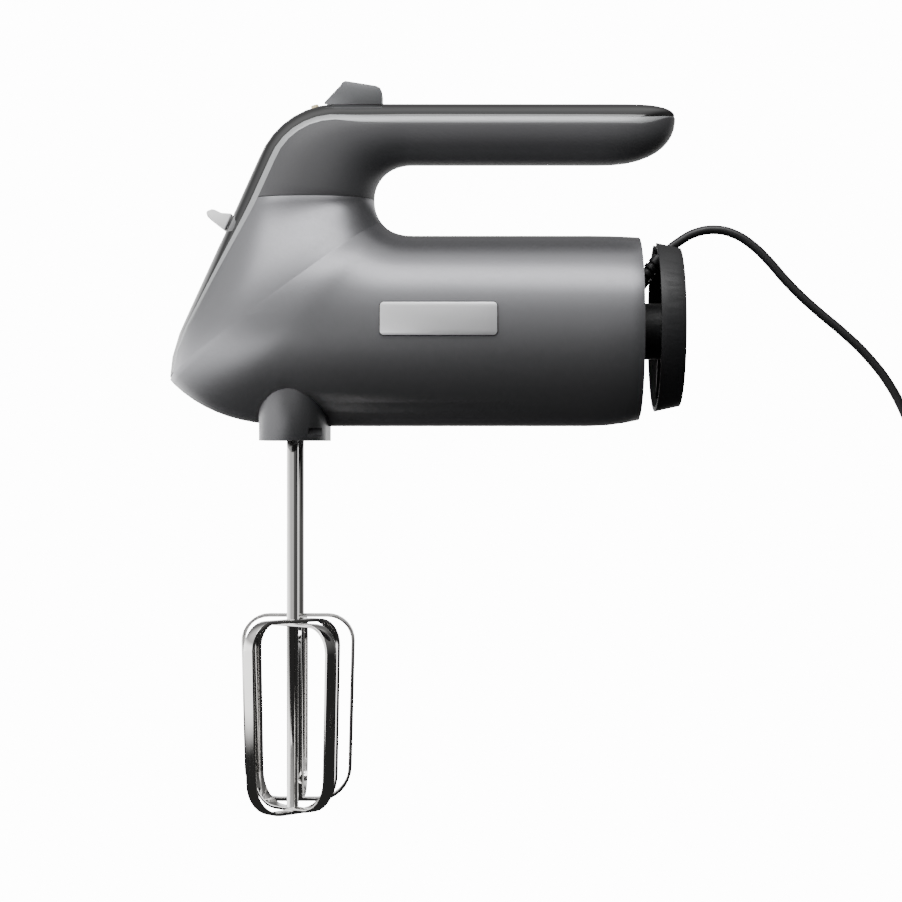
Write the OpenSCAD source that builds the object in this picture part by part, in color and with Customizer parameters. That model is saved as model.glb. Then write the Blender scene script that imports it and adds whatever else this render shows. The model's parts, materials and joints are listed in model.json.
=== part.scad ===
// Hand mixer: a motor in a barrel-shaped body, a looped grip above it and two counter-turning beaters.
// The origin is the middle of the grip. +X points to the cord, -X to the beaters, +Z up.
// The mixer's own left side is at -Y. Millimetres and degrees throughout.

/* [Grip] */
// Width of the grip across the hand
grip_w = 36; // [30:0.5:43.5]
// Height of the grip
grip_h = 26.3; // [23:0.1:31.6]
// Reach of the grip behind the origin
grip_rear = 67.4; // [60:0.1:81]
// Clear height of the gap for the fingers
gap_h = 30.9; // [25.5:0.1:37.2]
// Reach of the finger gap in front of the origin
gap_front = 63.2; // [60:0.1:70]
// Radius of the finger gap's front end, measured along the grip
gap_round = 16.5; // [14:0.5:20]

/* [Body] */
// Height of the barrel that holds the motor
body_h = 82.8; // [78:0.1:99.5]
// Width of the barrel
body_w = 82; // [80:0.5:98.5]
// Where the barrel's shells end, behind the origin
body_rear = 51.3; // [48:0.1:61.6]
// Thickness of the rear cap, which sits inside the shells' ends
cap_t = 2.5; // [2:0.1:4]
// Width of the column that joins the grip to the barrel
neck_w = 48; // [40:0.5:57.5]
// Reach of the nose in front of the origin
nose_reach = 151.8; // [148:0.1:160]
// Height of the nose tip above the bottom of the barrel
nose_lift = 21.3; // [16:0.1:26]
// Lean of the front from the vertical
front_lean = 24.3; // [20:0.1:27]
// Radius where the front turns into the top
brow_r = 36.5; // [30:0.5:42]
// Wall of the moulded shells
wall = 2.5; // [2:0.1:3]

/* [Cover and trim] */
// Depth of the gloss cover on the grip
cover_grip = 7.2; // [6:0.1:8]
// Depth of the gloss cover on the front
cover_front = 6; // [5:0.1:7.2]
// Wall of the gloss cover
cover_wall = 2.2; // [1.8:0.1:2.3]
// Depth of the trim band on the grip
trim_grip = 2.9; // [2.4:0.1:3.4]
// Depth of the trim band on the front
trim_front = 2.5; // [2.1:0.1:3]
// Length of the blank badge plate
badge_l = 49.7; // [40:0.1:60]
// Height of the blank badge plate
badge_h = 14.6; // [12:0.1:17.6]
// Thickness of the badge plate
badge_t = 0.8; // [0.6:0.1:1.2]

/* [Controls] */
// Length of the speed selector
selector_l = 24.8; // [20.7:0.1:29.6]
// Width of the speed selector
selector_w = 19; // [16:0.5:22]
// Height of the speed selector above the grip
selector_h = 9; // [7.5:0.1:10.8]
// Travel of the speed selector, from off to the fastest speed
selector_travel = 20; // [16:1:24]
// Width of the eject tab
eject_w = 13; // [10:0.5:15.5]
// Travel of the eject tab
eject_travel = 5; // [4:0.5:6]
// Diameter of the indicator lens
lens_d = 3.4; // [2.8:0.1:4.2]

/* [Beaters] */
// Distance between the two beater shafts
beater_pitch = 38; // [37:0.5:41]
// Diameter of a beater's shaft
shaft_d = 5; // [4.5:0.1:5.6]
// Diameter of a beater's whisk
whisk_d = 50; // [44:0.5:52]
// Height of a beater's whisk
whisk_h = 82.8; // [69:0.1:99.5]
// Distance from the grip's middle down to the beaters' tips
beater_low = 292.1; // [280:0.1:310]
// Width of a whisk's strip
strip_w = 5.6; // [4.7:0.1:6.7]
// Thickness of a whisk's strip
strip_t = 1.4; // [1.2:0.1:1.8]
// Where the beaters stand, in front of the origin
beater_reach = 97.6; // [96:0.1:101]
// Width of the tool collar, front to back
collar_w = 28.8; // [26:0.1:32]
// Depth of the tool collar below the barrel
collar_drop = 6.1; // [5:0.1:8]

/* [Drive] */
// Diameter of the motor's shaft
motor_shaft_d = 5; // [4.5:0.1:6]
// Diameter of the armature
armature_d = 29.2; // [25:0.1:31]
// Air gap between the armature and the field core
air_gap = 0.6; // [0.4:0.1:0.8]
// Length of the field core
field_l = 32; // [26:1:38]
// Diameter of the cooling fan
fan_d = 54; // [45:1:60]
// Teeth on a worm wheel
wheel_teeth = 30; // [24:2:36]
// Thickness of a worm wheel
wheel_t = 8; // [6:0.5:9.5]
// Diameter over the worm's thread
worm_d = 7.2; // [6.4:0.1:7.6]
// Bore of the hollow spindles, over a beater's shaft
socket_gap = 0.1; // [0.05:0.05:0.2]

/* [Cord wrap and cord] */
// Diameter of the cord wrap's rim
wrap_d = 73.6; // [66:0.2:78]
// Diameter of the cord wrap's hub
hub_d = 24.4; // [20:0.2:26]
// Gap between the rear cap and the cord wrap's rim
wrap_gap = 7.2; // [6:0.1:8.4]
// Depth of the cord wrap's cup
wrap_depth = 10.7; // [9:0.1:13]
// Diameter of the mains cord
cord_d = 4; // [3.6:0.1:4.4]

/* [Hidden] */

fit_gap = 0.3;                 // running clearance between moving pieces
round_pow = 2.25;              // superellipse power of the section
nose_fan = 50;                 // degrees of the fan in which the neck widens to the barrel

grip_top = grip_h / 2;
grip_low = -grip_h / 2;
split_z = grip_low - gap_h / 2;
barrel_top = grip_low - gap_h;
barrel_low = barrel_top - body_h;
motor_z = (barrel_top + barrel_low) / 2;
fan_x = gap_round - gap_front; // centre of the fan of sections at the loop's front end
rear_face = body_rear;
wrap_rim = rear_face + wrap_gap;

// Side outline of the front, from the top of the grip round the nose to the barrel's bottom
nose_tip = [-nose_reach, barrel_low + nose_lift];
slope_low = [nose_tip.x + 5.2, nose_tip.y + 21.7];
brow_turn = 90 - front_lean;
brow_x = slope_low.x + (grip_top - slope_low.y) * tan(front_lean) + brow_r * tan(brow_turn / 2);
function on_arc(centre, r, a) = centre + r * [cos(a), sin(a)];
function bezier(a, b, c, t) = (1 - t) * (1 - t) * a + 2 * t * (1 - t) * b + t * t * c;
outline = concat(
    [[fan_x + 1, grip_top]],
    [for (a = [90:5:90 + brow_turn]) on_arc([brow_x, grip_top - brow_r], brow_r, a)],
    [on_arc([brow_x, grip_top - brow_r], brow_r, 90 + brow_turn)],
    [for (t = [0:0.125:1]) bezier(slope_low, slope_low - 10.4 * [sin(front_lean), cos(front_lean)],
        nose_tip + [0, 2], t)],
    [for (t = [0:0.1:1]) bezier(nose_tip - [0, 1.5], nose_tip + [15, -17], nose_tip + [38.3, -20], t)],
    [[nose_tip.x + 50, barrel_low], [fan_x + 1, barrel_low]]
);

function smooth(t) = let (u = min(1, max(0, t))) u * u * (3 - 2 * u);
function mix(a, b, t) = a + (b - a) * t;
function crossed(a, b) = a.x * b.y - a.y * b.x;
fan_centre = [fan_x, split_z];
// Distance from the fan's centre to the outline along a direction, and how squarely it meets it
function reach(dir) = [for (i = [0:len(outline) - 2])
    let (
        a = outline[i] - fan_centre,
        b = outline[i + 1] - outline[i],
        d = crossed(dir, b),
        t = abs(d) < 1e-9 ? 0 : crossed(a, b) / d,
        u = abs(d) < 1e-9 ? -1 : crossed(a, dir) / d
    ) if (t > 0 && u >= -1e-6 && u <= 1 + 1e-6) [t, abs(d) / norm(b)]][0];
// Radius of the finger gap's front end, along a direction
function gap_reach(dir) = 1 / pow(
    pow(abs(dir.x) / gap_round, 2.15) + pow(abs(dir.y) / (gap_h / 2), 2.15), 1 / 2.15);

// A section is [inner point, outer point, half width, cover depth, trim depth]. The sections run
// from the grip's tail, along the grip, round the loop's front end and back along the barrel.
tail_z = grip_top - 6;
thin = 0.12;
nose_turn = 180 + atan((split_z - nose_tip.y) / (fan_x - nose_tip.x));
function lobe(x, from, to, power) =
    pow(max(0, 1 - pow(max(0, (x - from) / (to - from)), power)), 1 / power);
function with_depths(i, o, w, cover, trim) =
    [i, o, w, max(thin, cover), max(2 * thin, cover + thin, trim)];
function tail_section(x) = let (
    low = tail_z - (tail_z - grip_low) * lobe(x, grip_rear - 32.6, grip_rear, 2.3),
    high = tail_z + (grip_top - tail_z) * lobe(x, grip_rear - 20.4, grip_rear, 2.5),
    rise = smooth((x - grip_rear + 16) / 16)
) with_depths(
    [x, low], [x, high], grip_w / 2 * lobe(x, grip_rear - 40, grip_rear, 2.4),
    high - mix(grip_top - cover_grip, tail_z, rise),
    high - mix(grip_top - cover_grip - trim_grip, tail_z - thin, rise)
);
// The spine narrows down the nose and ends bluntly at its tip
tip_share = 0.35;              // depth left at the tip, as a share of the front's
function faded(a, grip, front) = a > nose_turn + 0.1 ? 0
    : mix(grip, front, smooth((a - 120) / 40))
        * (1 - (1 - tip_share) * pow(max(0, a - 180) / (nose_turn - 180), 1.5));
function fan_section(a) = let (dir = [cos(a), sin(a)], hit = reach(dir)) with_depths(
    fan_centre + gap_reach(dir) * dir,
    fan_centre + hit[0] * dir,
    a < 180 ? mix(grip_w / 2, neck_w / 2, smooth((a - 90) / 90))
            : mix(neck_w / 2, body_w / 2, smooth((a - 180) / nose_fan)),
    faded(a, cover_grip, cover_front) / hit[1],
    faded(a, cover_grip + trim_grip, cover_front + trim_front) / hit[1]
);
function barrel_section(x) = let (e = pow(max(0, (x - body_rear + 21) / 24), 2)) with_depths(
    [x, barrel_top - 0.9 * e], [x, barrel_low + 3.4 * e], body_w / 2 - 1.8 * e, 0, 0
);
tail_steps = [0.997, 0.985, 0.96, 0.92, 0.87, 0.8, 0.71, 0.6, 0.47, 0.32, 0.15, 0];
tail_solid = 4;                // the grip is solid over this many of its first sections
grip_sections = concat(
    [for (t = tail_steps) tail_section(grip_rear - 40 * (1 - t))],
    [for (a = [90:5:180]) fan_section(a)]
);
seam = 0.3;                    // open line between the grip and the body, in degrees of the fan
nose_sections = [for (a = [180 + seam:3.3:nose_turn - 1]) fan_section(a)];
body_sections = concat(
    nose_sections,
    [fan_section(nose_turn), fan_section(nose_turn + 0.4)],
    [for (a = [nose_turn + 1.5:2.4:nose_turn + 21]) fan_section(a)],
    [for (a = [nose_turn + 25:6:264]) fan_section(a)],
    [for (x = [fan_x, body_rear - 21, body_rear - 13, body_rear - 6, body_rear]) barrel_section(x)]
);
spine_sections = concat(
    [for (i = [1:len(grip_sections) - 1]) grip_sections[i]],
    [for (i = [1:len(nose_sections) - 1]) nose_sections[i]],
    [fan_section(nose_turn)]
);

// The rounded section is a superellipse. A turn of 0 is its outer point and 180 its inner one.
function on_power(v) = sign(v) * pow(abs(v), 2 / round_pow);
function half_depth(s) = norm(s[1] - s[0]) / 2;
function on_section(s, turn, inset, side) = let (
    dir = (s[1] - s[0]) / norm(s[1] - s[0]),
    p = (s[0] + s[1]) / 2 + dir * (half_depth(s) - inset) * on_power(cos(turn))
) [p.x, side * (s[2] - inset) * on_power(sin(turn)), p.y];
// Turn at which the section, inset by a wall, crosses a line a set depth below its outer point
function turn_at(s, depth, inset = 0) =
    acos(pow(max(0, min(1, (half_depth(s) - depth) / (half_depth(s) - inset))), round_pow / 2));
function between(a, b, n) = [for (i = [0:n]) a + (b - a) * i / n];

arc_n = 18;                    // steps round a shell's outer side, and as many round its inner side
// A ring's first step takes up the change where the spine ends, so the other steps run on evenly
function turns(start) = concat([start], between(max(start + 4, 24), 180, arc_n - 1));
function shell_ring(s, side, solid) = let (
    outer = [for (t = turns(turn_at(s, s[4]))) on_section(s, t, 0, side)],
    in_turns = turns(turn_at(s, s[4], wall)),
    first = [outer[0].x, 0, outer[0].z],
    last = outer[arc_n],
    inner = solid
        ? [for (t = [0:arc_n]) last + (first - last) * t / arc_n]
        : [for (i = [arc_n:-1:0]) on_section(s, in_turns[i], wall, side)]
) concat(outer, inner);

// Skin over a row of rings, closed with a fan of triangles at each end
module skin(rings, flip = false) {
    n = len(rings[0]);
    last = len(rings) - 1;
    side = [for (j = [0:last - 1], i = [0:n - 1])
        let (k = (i + 1) % n, a = j * n + i, b = j * n + k, c = b + n, d = a + n)
        each [[a, b, c], [a, c, d]]];
    faces = concat(
        side,
        [for (i = [1:n - 2]) [0, i + 1, i]],
        [for (i = [1:n - 2], m = [last * n]) [m, m + i, m + i + 1]]
    );
    polyhedron(
        points = [for (r = rings) each r],
        faces = flip ? [for (f = faces) [f[2], f[1], f[0]]] : faces
    );
}

// Skin over the C-shaped rings of a shell: the two ends are strips between its outer and inner sides
module shell_skin(rings, side) {
    n = len(rings[0]);
    half = n / 2;
    last = len(rings) - 1;
    faces = concat(
        [for (j = [0:last - 1], i = [0:n - 1])
            let (k = (i + 1) % n, a = j * n + i, b = j * n + k, c = b + n, d = a + n)
            each [[a, b, c], [a, c, d]]],
        [for (i = [0:half - 2]) let (a = i, b = i + 1, c = n - 2 - i, d = n - 1 - i)
            each [[a, c, b], [a, d, c]]],
        [for (i = [0:half - 2]) let (m = last * n, a = m + i, b = a + 1, c = m + n - 2 - i, d = c + 1)
            each [[a, b, c], [a, c, d]]]
    );
    polyhedron(
        points = [for (r = rings) each r],
        faces = side < 0 ? faces : [for (f = faces) [f[2], f[1], f[0]]]
    );
}

// Half width of the outside at a place in the side view
function side_at(x, z) = let (
    v = [x, z] - fan_centre,
    a = (atan2(v.y, v.x) + 360) % 360,
    s = x > fan_x ? (z > split_z ? tail_section(x) : barrel_section(x)) : fan_section(a),
    u = norm([x, z] - (s[0] + s[1]) / 2) / half_depth(s)
) s[2] * pow(max(0, 1 - pow(u, round_pow)), 1 / round_pow);

module along_y(x, z, d, from, to) {
    translate([x, from, z])
        rotate([-90, 0, 0])
            cylinder(d = d, h = to - from);
}

// Bosses for the screws that hold the halves together: x, z
grip_bosses = [[grip_rear - 26, -3], [-20, -4], [-94, -16]];
body_bosses = [
    [fan_x - 4, barrel_top - 8.5], [body_rear - 26, barrel_top - 7.5], [-128, motor_z - 6],
    [fan_x - 8, barrel_low + 7.5], [body_rear - 26, barrel_low + 7.5]
];
boss_d = 7.6;
screw_d = 3;
screw_head_d = 5.6;
screw_well = 7;                // how far a screw's head sits inside the right side's surface

// How far a boss reaches from the middle: into the wall, but nowhere out through it
function boss_reach(b) = min([for (a = [0:45:315])
    side_at(b[0] + boss_d / 2 * cos(a), b[1] + boss_d / 2 * sin(a))]) - 0.8;

module shell(part_sections, side, bosses, solid) {
    rings = concat(
        [for (i = [0:solid - 1]) shell_ring(part_sections[i], side, true)],
        [for (i = [solid:len(part_sections) - 1]) shell_ring(part_sections[i], side, false)]
    );
    difference() {
        union() {
            shell_skin(rings, side);
            for (b = bosses) {
                deep = boss_reach(b);
                along_y(b[0], b[1], boss_d, side < 0 ? -deep : 0, side < 0 ? 0 : deep);
            }
        }
        for (b = bosses) {
            well = side_at(b[0], b[1]) - screw_well;
            along_y(b[0], b[1], screw_d + 0.2, side < 0 ? -well : -1, side < 0 ? 1 : 60);
            if (side > 0) {
                along_y(b[0], b[1], screw_head_d + 0.6, well - 2, 60);
            }
        }
        if (bosses == body_bosses) {
            eject_slot();
            translate([-beater_reach, 0, barrel_low - 10])
                stadium(collar_w + 0.1, collar_top - barrel_low + 10);
        }
    }
}

module handle_shell_left() {
    color("#4a4a4c") shell(grip_sections, -1, grip_bosses, tail_solid);
}

module handle_shell_right() {
    color("#4a4a4c") shell(grip_sections, 1, grip_bosses, tail_solid);
}

module body_shell_left() {
    color("#5e5e60") shell(body_sections, -1, body_bosses, 0);
}

module body_shell_right() {
    color("#5e5e60") shell(body_sections, 1, body_bosses, 0);
}

// Selector: its place at rest, its stem and the slot the stem slides in
selector_front = brow_x - 5.3;
stem_x = selector_front + selector_l / 2 + 2;
stem_l = 6;
stem_w = 5;
slot_w = stem_w + 2 * fit_gap;
module selector_slot() {
    translate([stem_x - stem_l / 2 - fit_gap, -slot_w / 2, grip_top - 20])
        cube([stem_l + selector_travel + 2 * fit_gap, slot_w, 30]);
}

// The eject tab stands out of the front just under the split line, on a stem that runs in a slot
eject_top = split_z - 3;
eject_slope_x = slope_low.x + (eject_top - slope_low.y) * tan(front_lean);
eject_stem = [eject_slope_x - 7, eject_slope_x + 15];
eject_stem_h = 3.6;
eject_stem_z = eject_top - 7.6;
eject_stem_w = 6;
module eject_scoop() {
    back = eject_slope_x - 3.2 * tan(front_lean) + 0.1;
    rotate([90, 0, 0])
        linear_extrude(height = eject_w + 2 * fit_gap, center = true)
            polygon([
                [back - 20, eject_top + 1], [back + 0.35, eject_top - 1.6],
                [back + 0.35, eject_top - 3.2 - eject_travel],
                [back + 0.35 - (7.4 + fit_gap) * tan(front_lean), eject_top - 10.6 - eject_travel - fit_gap],
                [back - 20, eject_top - 10.6 - eject_travel - fit_gap]
            ]);
}

module eject_slot() {
    translate([eject_stem[0] - 8, -eject_stem_w / 2 - fit_gap, eject_stem_z - eject_travel - fit_gap])
        cube([26, eject_stem_w + 2 * fit_gap, eject_stem_h + eject_travel + 2 * fit_gap]);
}

spindle_d = shaft_d + 2 * socket_gap + 3.6;
socket_end_d = spindle_d + 3;

lens_turn = 105.6;
lens_l = 8;
lens_proud = 1.2;               // how far the lens stands out of the cover
module at_lens() {
    spot = on_arc([brow_x, grip_top - brow_r], brow_r, lens_turn);
    translate([spot.x, 0, spot.y])
        rotate([0, 90 - lens_turn, 0])
            children();
}

module lens_hole() {
    at_lens()
        translate([0, 0, -30])
            cylinder(d = lens_d + 0.2, h = 40);
}

// Gloss cover along the top and the front, hollow over the grip
cover_n = 16;
module top_cover() {
    rings = [for (s = spine_sections) let (t = turn_at(s, s[3]))
        [for (i = between(-t, t, cover_n)) on_section(s, i, 0, 1)]];
    color("#1a1a1c")
        difference() {
            skin(rings, true);
            translate([selector_front + 2, -selector_w / 2 + 1, grip_top - cover_grip - 1])
                cube([grip_rear - 30 - selector_front, selector_w - 2, cover_grip + 1 - cover_wall]);
            selector_slot();
            eject_slot();
            eject_scoop();
            lens_hole();
        }
}

// Light band under the cover, drawn as the whole carrier plate that the cover clips to
module trim_band() {
    rings = [for (s = spine_sections) let (t = turn_at(s, s[3]), u = turn_at(s, s[4]))
        concat(
            [for (i = between(t, u, 3)) on_section(s, i, 0, 1)],
            [for (i = between(u, t, 3)) on_section(s, i, 0, -1)]
        )];
    color("#b4b4b4")
        difference() {
            skin(rings, true);
            selector_slot();
            eject_slot();
            eject_scoop();
            lens_hole();
        }
}

module indicator_lens() {
    color("#e2d8b5")
        at_lens()
            translate([0, 0, lens_proud - lens_l])
                cylinder(d = lens_d, h = lens_l);
}

// Blank plates bent round both sides of the barrel
badge_x = -35.2;
badge_z = motor_z + 3.4;
badge_n = 10;
module badge(side) {
    skim = 0.05;
    rise = [for (i = [0:badge_n]) badge_z + badge_h * (i / badge_n - 0.5)];
    outline_yz = concat(
        [for (z = rise) [z, side * (side_at(0, z) + skim)]],
        [for (i = [badge_n:-1:0]) [rise[i], side * (side_at(0, rise[i]) + skim + badge_t)]]
    );
    r = 2;
    color("#b0b0b0")
        intersection() {
            translate([badge_x + badge_l / 2, 0, 0])
                rotate([0, -90, 0])
                    linear_extrude(height = badge_l)
                        polygon(outline_yz);
            translate([badge_x, 100, badge_z])
                rotate([90, 0, 0])
                    linear_extrude(height = 200) {
                        square([badge_l - 2 * r, badge_h], center = true);
                        square([badge_l, badge_h - 2 * r], center = true);
                        for (sx = [-1, 1], sz = [-1, 1]) {
                            translate([sx * (badge_l / 2 - r), sz * (badge_h / 2 - r)])
                                circle(r = r);
                        }
                    }
        }
}

module badge_left() {
    badge(-1);
}

module badge_right() {
    badge(1);
}

// Collar round the two sockets, plugged into the underside of the nose
collar_low = barrel_low - collar_drop;
collar_top = barrel_low + 17.5;
collar_t = 2.4;
module stadium(w, h) {
    translate([-w / 2, -beater_pitch / 2, 0])
        cube([w, beater_pitch, h]);
    for (s = [-1, 1]) {
        translate([0, s * beater_pitch / 2, 0])
            cylinder(d = w, h = h);
    }
}

module tool_collar() {
    color("#4c4c4e")
        translate([-beater_reach, 0, 0])
            difference() {
                translate([0, 0, collar_low])
                    stadium(collar_w, collar_top - collar_low);
                translate([0, 0, collar_low + 9])
                    stadium(collar_w - 2 * collar_t, 40);
                for (s = [-1, 1]) {
                    translate([0, s * beater_pitch / 2, collar_low - 1])
                        cylinder(d = socket_end_d + 1.6, h = 20);
                    translate([collar_w / 2 - 7, s * (beater_pitch / 2 + collar_w / 2 - 3) - 5, collar_low + 2.6])
                        cube([6.3, 10, 2.6]);
                }
            }
}

// Rear cap: closes the barrel, lets air in and carries the cord wrap
cap_section = barrel_section(body_rear);
cap_mid = (cap_section[0].y + cap_section[1].y) / 2;
vent_r = 27;
cap_gap = 0.2;
module cap_outline(inset) {
    h = (cap_section[0].y - cap_section[1].y) / 2 - inset;
    w = cap_section[2] - inset;
    polygon([for (i = [0:47]) let (a = 7.5 * i + 3.75) [h * on_power(cos(a)), w * on_power(sin(a))]]);
}

gland_dir = 52;                // how steeply the cord climbs out of the rear cap
gland_l = 23;                  // length of the strain relief
gland_tip = [wrap_rim + 2.1, motor_z + 32.05];
wrap_z = motor_z + 1.9;         // height of the cord wrap's middle
gland_foot = gland_tip - gland_l * [cos(gland_dir), sin(gland_dir)];
module at_gland() {
    translate([gland_foot.x, 0, gland_foot.y])
        rotate([0, 90 - gland_dir, 0])
            children();
}

module rear_cap() {
    color("#2a2a2c")
        difference() {
            union() {
                translate([rear_face - cap_t, 0, cap_mid])
                    rotate([0, 90, 0])
                        linear_extrude(height = cap_t)
                            cap_outline(wall + cap_gap);
                translate([rear_face - cap_t - 4, 0, cap_mid])
                    rotate([0, 90, 0])
                        linear_extrude(height = 4.1)
                            difference() {
                                cap_outline(wall + cap_gap);
                                cap_outline(wall + cap_gap + 2);
                            }
            }
            for (a = [35:14.5:335]) {
                translate([rear_face - 8, 0, motor_z])
                    rotate([a, 0, 0])
                        translate([0, -1, vent_r - 9])
                            cube([12, 2, 17]);
            }
            at_gland()
                cylinder(d = 8.6, h = 3 * gland_l, center = true, $fn = 32);
        }
}

// Speed selector, with the stem that passes through the cover. Its underside rides on the cover.
module speed_selector() {
    top = grip_top + selector_h;
    rear = selector_front + selector_l;
    low = grip_top - 3;
    grip_section = tail_section(0);
    color("#8e8e90") {
        difference() {
            rotate([90, 0, 0])
                linear_extrude(height = selector_w, center = true)
                    polygon([
                        [selector_front, low], [selector_front, grip_top - 0.2],
                        [selector_front + 6.8, top - 2], [selector_front + 7.7, top - 0.6],
                        [selector_front + 9, top], [rear - 2.6, top - 2.1],
                        [rear - 0.8, top - 3], [rear, top - 4.6], [rear, low]
                    ]);
            translate([selector_front - 5, 0, 0])
                rotate([90, 0, 90])
                    linear_extrude(height = selector_l + 10)
                        polygon([for (t = [2:8:358]) let (p = on_section(grip_section, t, -fit_gap, 1)) [p.y, p.z]]);
        }
        translate([stem_x - stem_l / 2, -stem_w / 2, grip_top - cover_grip - trim_grip - 1])
            cube([stem_l, stem_w, cover_grip + trim_grip + 3.5]);
    }
}

contact_t = 1.2;
contact_ahead = 8;             // how far the contact slide reaches ahead of the stem
contact_behind = 22;
contact_top = grip_top - cover_grip - trim_grip - 0.5;
switch_l = 38;
board_l = 54;
module selector_contact() {
    color("#202022")
        translate([stem_x - stem_l / 2 - contact_ahead, -6, contact_top - contact_t])
            difference() {
                cube([contact_ahead + stem_l + contact_behind, 12, contact_t]);
                translate([contact_ahead - 0.01, 6 - stem_w / 2, contact_t - 0.6])
                    cube([stem_l + 0.02, stem_w, 1]);
            }
}

module speed_switch() {
    color("#303034")
        translate([stem_x - 10, -8, contact_top - contact_t - 5.4])
            cube([switch_l, 16, 5]);
}

module circuit_board() {
    color("#2e6b3c")
        translate([stem_x - 12, -10, contact_top - contact_t - 7.2])
            cube([board_l, 20, 1.6]);
}

// Eject tab with its stem and the rod that reaches down to the ejector plate
plate_top = motor_z + 22;
plate_t = 2.4;
module eject_lever() {
    x0 = eject_slope_x;
    color("#c8c8ca") {
        rotate([90, 0, 0])
            linear_extrude(height = eject_w, center = true)
                    polygon([
                        [x0 - 10.5, eject_top - 1.2], [x0 - 12.4, eject_top - 1.9],
                        [x0 - 12.9, eject_top - 2.7], [x0 - 12.3, eject_top - 4.6],
                        [x0 - 5.6, eject_top - 9.9], [x0 - 4.8, eject_top - 10.1],
                        [x0 - 1.7, eject_top - 3.1], [x0 - 6.3, eject_top - 2.8],
                        [x0 - 9.2, eject_top - 1.4]
                    ]);
        translate([eject_stem[0] + 2, -eject_stem_w / 2, eject_stem_z])
            cube([eject_stem[1] - eject_stem[0] - 2, eject_stem_w, eject_stem_h]);
        translate([eject_stem[1] - 4, -eject_stem_w / 2, plate_top])
            cube([4, eject_stem_w, eject_stem_z + eject_stem_h - plate_top]);
    }
}

pin_l = 6;
pin_d = shaft_d - 0.6;
module ejector_plate() {
    color("#b8b8ba")
        union() {
            translate([-beater_reach - 6, -beater_pitch / 2 - 5, plate_top - plate_t])
                cube([12, beater_pitch + 10, plate_t]);
            translate([eject_stem[1] - 5, -5, plate_top - plate_t])
                cube([-beater_reach - eject_stem[1] + 6, 10, plate_t]);
            for (s = [-1, 1]) {
                translate([-beater_reach, s * beater_pitch / 2, plate_top - plate_t - pin_l])
                    cylinder(d = pin_d, h = pin_l + 1);
            }
        }
}

// Gear frame: a bulkhead with the front bearing and two plates that hold the spindles' bushes
wheel_top = motor_z + wheel_t / 2;
frame_t = 2.4;
frame_top = plate_top - plate_t - eject_travel - 2.8;
frame_low = motor_z - wheel_t / 2 - 3 - frame_t;
frame_rear = -beater_reach + 22;
bearing_d = motor_shaft_d + 11;
bearing_w = 5;
bush_d = spindle_d + 4;
module gear_frame() {
    half = beater_pitch / 2 + 9;
    color("#9c9ca0")
        difference() {
            union() {
                translate([-beater_reach - 9, -half, frame_top - frame_t])
                    cube([frame_rear + beater_reach + 9, 2 * half, frame_t]);
                translate([-beater_reach - 9, -half, frame_low])
                    cube([frame_rear + beater_reach + 9, 2 * half, frame_t]);
                translate([frame_rear - 3, -half, frame_low])
                    cube([3, 2 * half, frame_top - frame_low]);
                translate([frame_rear - 5, 0, motor_z])
                    rotate([0, 90, 0])
                        cylinder(d = bearing_d + 4, h = bearing_w + 2);
            }
            for (s = [-1, 1]) {
                translate([-beater_reach, s * beater_pitch / 2, frame_low - 5])
                    cylinder(d = bush_d, h = frame_top - frame_low + 10);
            }
            translate([frame_rear - 3, 0, motor_z])
                rotate([0, 90, 0])
                    cylinder(d = bearing_d, h = bearing_w + 10);
            translate([frame_rear - 20, 0, motor_z])
                rotate([0, 90, 0])
                    cylinder(d = motor_shaft_d + 5, h = 40);
        }
}

module return_springs() {
    h = plate_top - plate_t - frame_top;
    color("#d0d0d0")
        for (s = [-1, 1]) {
            translate([-beater_reach, s * beater_pitch / 2, frame_top])
                difference() {
                    cylinder(d = spindle_d + 6.4, h = h);
                    translate([0, 0, -1])
                        cylinder(d = spindle_d + 4, h = h + 2);
                }
        }
}

module spindle_bushes() {
    color("#b08d57")
        for (s = [-1, 1], z = [frame_top - frame_t, frame_low]) {
            translate([-beater_reach, s * beater_pitch / 2, z])
                difference() {
                    cylinder(d = bush_d, h = frame_t);
                    translate([0, 0, -1])
                        cylinder(d = spindle_d + 0.2, h = frame_t + 2);
                }
        }
}

// Worm wheel: teeth run clear of the worm's thread by a small gap
wheel_r = (beater_pitch - worm_d) / 2 - 0.25;
tooth_h = 1.4;
module worm_wheel(side) {
    color("#ece6d6")
        translate([-beater_reach, side * beater_pitch / 2, motor_z - wheel_t / 2])
            difference() {
                cylinder(r = wheel_r, h = wheel_t);
                translate([0, 0, -1])
                    cylinder(d = spindle_d, h = wheel_t + 2);
                for (i = [0:wheel_teeth - 1]) {
                    rotate([0, 0, i * 360 / wheel_teeth])
                        translate([wheel_r - tooth_h, -0.8, -1])
                            cube([4, 1.6, wheel_t + 2]);
                }
            }
}

module worm_wheel_left() {
    worm_wheel(-1);
}

module worm_wheel_right() {
    worm_wheel(1);
}

spindle_low = barrel_low - collar_drop + 1.4;
spindle_top = frame_top;
module spindle(side) {
    color("#c0c0c4")
        translate([-beater_reach, side * beater_pitch / 2, 0])
            difference() {
                union() {
                    translate([0, 0, spindle_low])
                        cylinder(d = spindle_d, h = spindle_top - spindle_low);
                    translate([0, 0, spindle_low])
                        cylinder(d = socket_end_d, h = 8);
                }
                translate([0, 0, spindle_low - 1])
                    cylinder(d = shaft_d + 2 * socket_gap, h = spindle_top - spindle_low + 2);
            }
}

module spindle_left() {
    spindle(-1);
}

module spindle_right() {
    spindle(1);
}

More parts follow.
